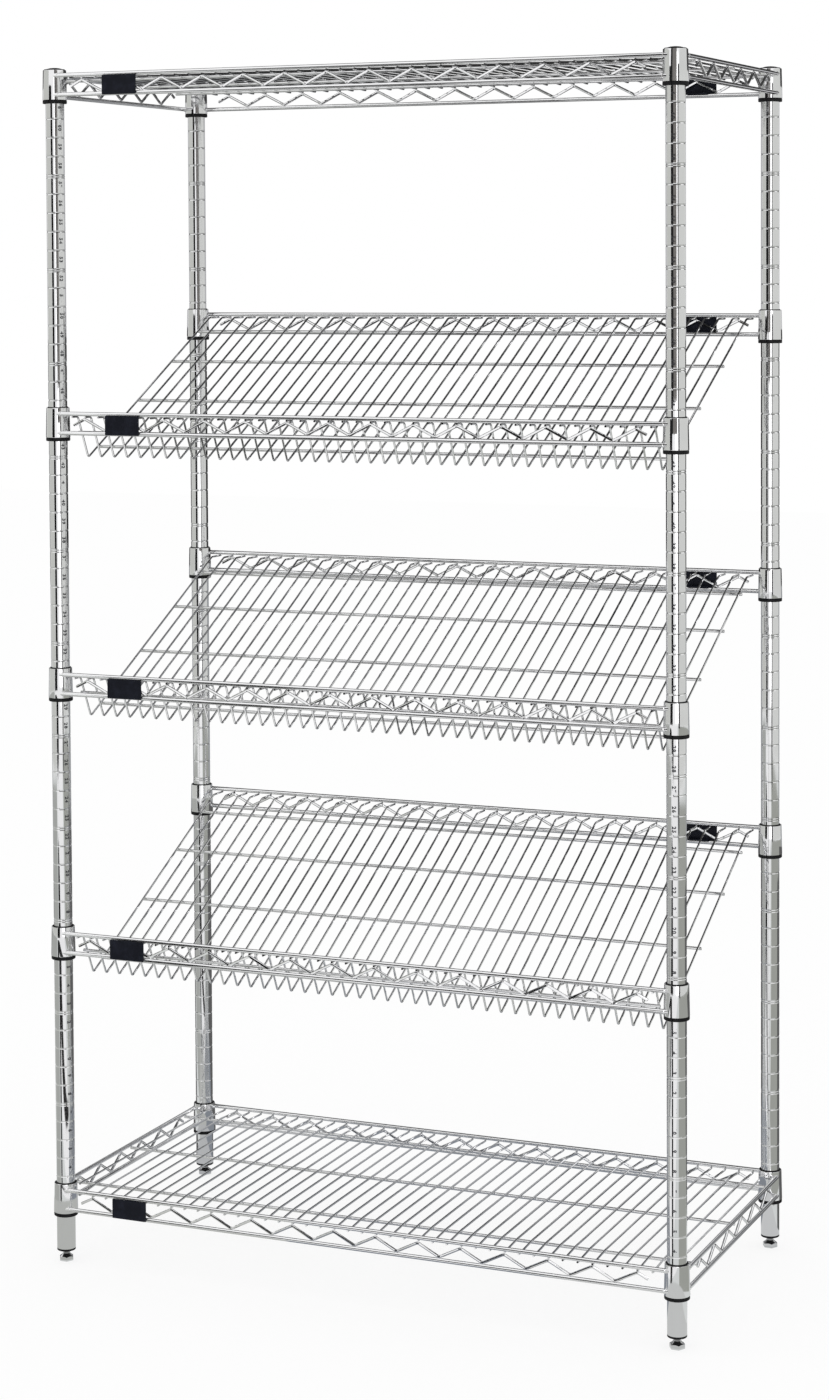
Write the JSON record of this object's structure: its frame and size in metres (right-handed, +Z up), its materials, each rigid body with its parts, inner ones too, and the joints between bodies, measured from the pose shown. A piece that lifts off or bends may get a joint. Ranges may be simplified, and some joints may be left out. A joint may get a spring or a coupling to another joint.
{
  "type": "slanted wire shelving unit",
  "caption": "Free-standing chromed wire shelving unit with flat top and bottom shelves and lipped slanted shelves between them, on grooved round posts with levelling feet.",
  "frame": {"origin": "on the floor, midway between the four posts", "axes": "+X to the right along the front, +Y from front to back, +Z up"},
  "size_m": [0.9142, 0.4516, 1.6359],
  "materials": {
    "post_chrome": "polished chrome plate on steel tube",
    "collar_chrome": "polished chrome plate",
    "rail_chrome": "polished chrome plate on bar",
    "truss_chrome": "polished chrome plate on wire",
    "deck_chrome": "polished chrome plate on wire",
    "support_chrome": "polished chrome plate on wire",
    "foot_chrome": "chrome plate on a steel hexagon",
    "sleeve_plastic": "satin black plastic",
    "cap_plastic": "semi-gloss black plastic",
    "insert_plastic": "dark plastic",
    "label_plastic": "bare semi-gloss black plastic"
  },
  "bodies": {
    "frame_and_bottom_shelf": {"post_front_left": "post_chrome", "post_cap_front_left": "cap_plastic", "foot_insert_front_left": "insert_plastic", "post_front_right": "post_chrome", "post_cap_front_right": "cap_plastic", "foot_insert_front_right": "insert_plastic", "post_rear_left": "post_chrome", "post_cap_rear_left": "cap_plastic", "foot_insert_rear_left": "insert_plastic", "post_rear_right": "post_chrome", "post_cap_rear_right": "cap_plastic", "foot_insert_rear_right": "insert_plastic", "bottom_shelf_sleeves": "sleeve_plastic", "bottom_shelf_collars": "collar_chrome", "bottom_shelf_rails": "rail_chrome", "bottom_shelf_truss_wires": "truss_chrome", "bottom_shelf_label_plates": "label_plastic", "bottom_shelf_deck_wires": "deck_chrome", "bottom_shelf_support_wires": "support_chrome", "lower_slanted_shelf_sleeves": "sleeve_plastic", "middle_slanted_shelf_sleeves": "sleeve_plastic", "upper_slanted_shelf_sleeves": "sleeve_plastic", "top_shelf_sleeves": "sleeve_plastic"},
    "levelling_foot_front_left": {"levelling_foot_front_left": "foot_chrome"},
    "levelling_foot_front_right": {"levelling_foot_front_right": "foot_chrome"},
    "levelling_foot_rear_left": {"levelling_foot_rear_left": "foot_chrome"},
    "levelling_foot_rear_right": {"levelling_foot_rear_right": "foot_chrome"},
    "lower_slanted_shelf": {"lower_slanted_shelf_collars": "collar_chrome", "lower_slanted_shelf_rails": "rail_chrome", "lower_slanted_shelf_truss_wires": "truss_chrome", "lower_slanted_shelf_label_plates": "label_plastic", "lower_slanted_shelf_deck_wires": "deck_chrome", "lower_slanted_shelf_support_wires": "support_chrome"},
    "middle_slanted_shelf": {"middle_slanted_shelf_collars": "collar_chrome", "middle_slanted_shelf_rails": "rail_chrome", "middle_slanted_shelf_truss_wires": "truss_chrome", "middle_slanted_shelf_label_plates": "label_plastic", "middle_slanted_shelf_deck_wires": "deck_chrome", "middle_slanted_shelf_support_wires": "support_chrome"},
    "upper_slanted_shelf": {"upper_slanted_shelf_collars": "collar_chrome", "upper_slanted_shelf_rails": "rail_chrome", "upper_slanted_shelf_truss_wires": "truss_chrome", "upper_slanted_shelf_label_plates": "label_plastic", "upper_slanted_shelf_deck_wires": "deck_chrome", "upper_slanted_shelf_support_wires": "support_chrome"},
    "top_shelf": {"top_shelf_collars": "collar_chrome", "top_shelf_rails": "rail_chrome", "top_shelf_truss_wires": "truss_chrome", "top_shelf_label_plates": "label_plastic", "top_shelf_deck_wires": "deck_chrome", "top_shelf_support_wires": "support_chrome"}
  },
  "joints": [
    {"name": "lower_slanted_shelf_lift", "type": "slide", "parent": "frame_and_bottom_shelf", "child": "lower_slanted_shelf", "axis": [0, 0, 1], "range_m": [0, 0.254]},
    {"name": "middle_slanted_shelf_lift", "type": "slide", "parent": "frame_and_bottom_shelf", "child": "middle_slanted_shelf", "axis": [0, 0, 1], "range_m": [0, 0.254]},
    {"name": "upper_slanted_shelf_lift", "type": "slide", "parent": "frame_and_bottom_shelf", "child": "upper_slanted_shelf", "axis": [0, 0, 1], "range_m": [0, 0.254]},
    {"name": "top_shelf_lift", "type": "slide", "parent": "frame_and_bottom_shelf", "child": "top_shelf", "axis": [0, 0, 1], "range_m": [0, 0.06]},
    {"name": "foot_screw_front_left", "type": "slide", "parent": "frame_and_bottom_shelf", "child": "levelling_foot_front_left", "axis": [0, 0, -1], "range_m": [0, 0.02]},
    {"name": "foot_screw_front_right", "type": "slide", "parent": "frame_and_bottom_shelf", "child": "levelling_foot_front_right", "axis": [0, 0, -1], "range_m": [0, 0.02]},
    {"name": "foot_screw_rear_left", "type": "slide", "parent": "frame_and_bottom_shelf", "child": "levelling_foot_rear_left", "axis": [0, 0, -1], "range_m": [0, 0.02]},
    {"name": "foot_screw_rear_right", "type": "slide", "parent": "frame_and_bottom_shelf", "child": "levelling_foot_rear_right", "axis": [0, 0, -1], "range_m": [0, 0.02]}
  ]
}
